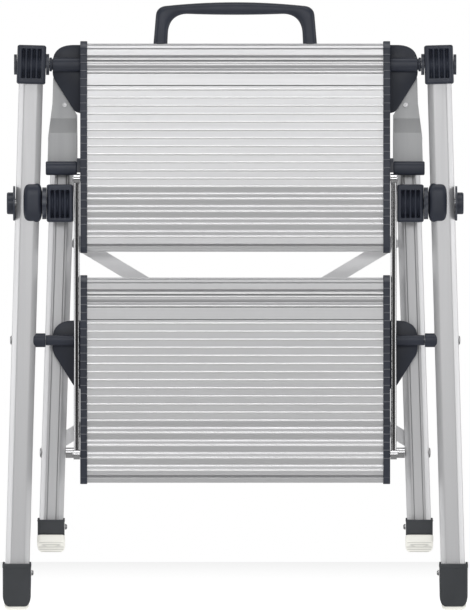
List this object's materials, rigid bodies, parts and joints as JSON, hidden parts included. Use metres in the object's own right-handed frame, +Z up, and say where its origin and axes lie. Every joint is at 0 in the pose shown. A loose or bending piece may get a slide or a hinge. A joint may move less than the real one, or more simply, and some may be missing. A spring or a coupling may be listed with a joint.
{
  "type": "folding step ladder",
  "caption": "Free-standing folding step ladder in aluminium: deep ribbed treads, a carrying handle on the top tread and a rear frame that swings out.",
  "frame": {"origin": "floor point below the middle of the folded ladder's width and depth", "axes": "+Z up along the folded ladder's height; +X to the right of a person facing the treads; +Y away from that person, through the folded ladder's depth"},
  "size_m": [0.4844, 0.0716, 0.6328],
  "materials": {
    "legs": "brushed satin",
    "treads": "satin extrusion",
    "arms": "pressed sheet",
    "plastic": "anthracite, fine texture",
    "feet": "anthracite, fine texture",
    "pale_soles": "cream rubber",
    "rods": "polished",
    "pins": "turned steel",
    "rivets": "pressed heads"
  },
  "bodies": {
    "front_frame": {"front_leg_right": "legs", "front_leg_left": "legs", "front_head_right": "plastic", "front_head_left": "plastic", "head_discs": "plastic", "top_axle_pins": "pins", "centre_saddle_right": "plastic", "centre_saddle_left": "plastic", "centre_collars": "plastic", "centre_flanges": "plastic", "centre_buttons": "plastic", "centre_pins": "pins", "lower_sleeves": "plastic", "lower_axle_pins": "pins", "lower_rivets": "rivets", "front_foot_right": "feet", "front_foot_left": "feet", "front_soles": "pale_soles", "front_foot_rivets": "rivets"},
    "rear_frame": {"rear_leg_right": "legs", "rear_leg_left": "legs", "rear_top_plug_right": "plastic", "rear_top_plug_left": "plastic", "guide_pins": "pins", "centre_clamp_right": "plastic", "centre_clamp_left": "plastic", "brace_front": "arms", "brace_back": "arms", "brace_rivet": "rivets", "brace_spacers": "rods", "brace_rivets": "rivets", "rear_foot_right": "feet", "rear_foot_left": "feet", "rear_soles": "pale_soles", "rear_foot_rivets": "rivets"},
    "top_tread": {"top_panel": "treads", "top_side_cap_right": "plastic", "top_side_cap_left": "plastic", "top_axle_sleeves": "plastic", "side_arm_right": "arms", "side_arm_left": "arms", "arm_screws": "rivets", "arm_knuckles": "plastic", "arm_blocks": "plastic", "top_cap_screws": "rivets", "handle": "plastic", "handle_screws": "rivets", "top_rod_pivots": "pins"},
    "lower_tread": {"lower_panel": "treads", "lower_side_cap_right": "plastic", "lower_side_cap_left": "plastic", "lower_axle_tubes": "plastic", "lower_cap_screws": "rivets", "lower_rod_pivots": "pins"},
    "link_rod_right": {"link_rod_right": "rods"},
    "link_rod_left": {"link_rod_left": "rods"}
  },
  "joints": [
    {"name": "tread_fold", "type": "hinge", "parent": "front_frame", "child": "top_tread", "pos_m": [0, -0.01775, 0.568], "axis": [-1, 0, 0], "range_deg": [0, 53]},
    {"name": "lower_tread_fold", "type": "hinge", "parent": "front_frame", "child": "lower_tread", "pos_m": [0, -0.01775, 0.281], "axis": [-1, 0, 0], "range_deg": [0, 53]},
    {"name": "rear_frame_swing", "type": "hinge", "parent": "front_frame", "child": "rear_frame", "pos_m": [0, -0.01775, 0.4235], "axis": [1, 0, 0], "range_deg": [0, 57]},
    {"name": "link_rod_right_pivot", "type": "hinge", "parent": "top_tread", "child": "link_rod_right", "pos_m": [0, -0.02875, 0.449], "axis": [1, 0, 0], "range_deg": [0, 53]},
    {"name": "link_rod_left_pivot", "type": "hinge", "parent": "top_tread", "child": "link_rod_left", "pos_m": [0, -0.02875, 0.449], "axis": [1, 0, 0], "range_deg": [0, 53]}
  ],
  "couplings": [
    {"joint": "lower_tread_fold", "follows": "tread_fold", "ratio": 1},
    {"joint": "rear_frame_swing", "follows": "tread_fold", "ratio": 1.0754},
    {"joint": "link_rod_right_pivot", "follows": "tread_fold", "ratio": 1},
    {"joint": "link_rod_left_pivot", "follows": "tread_fold", "ratio": 1}
  ]
}
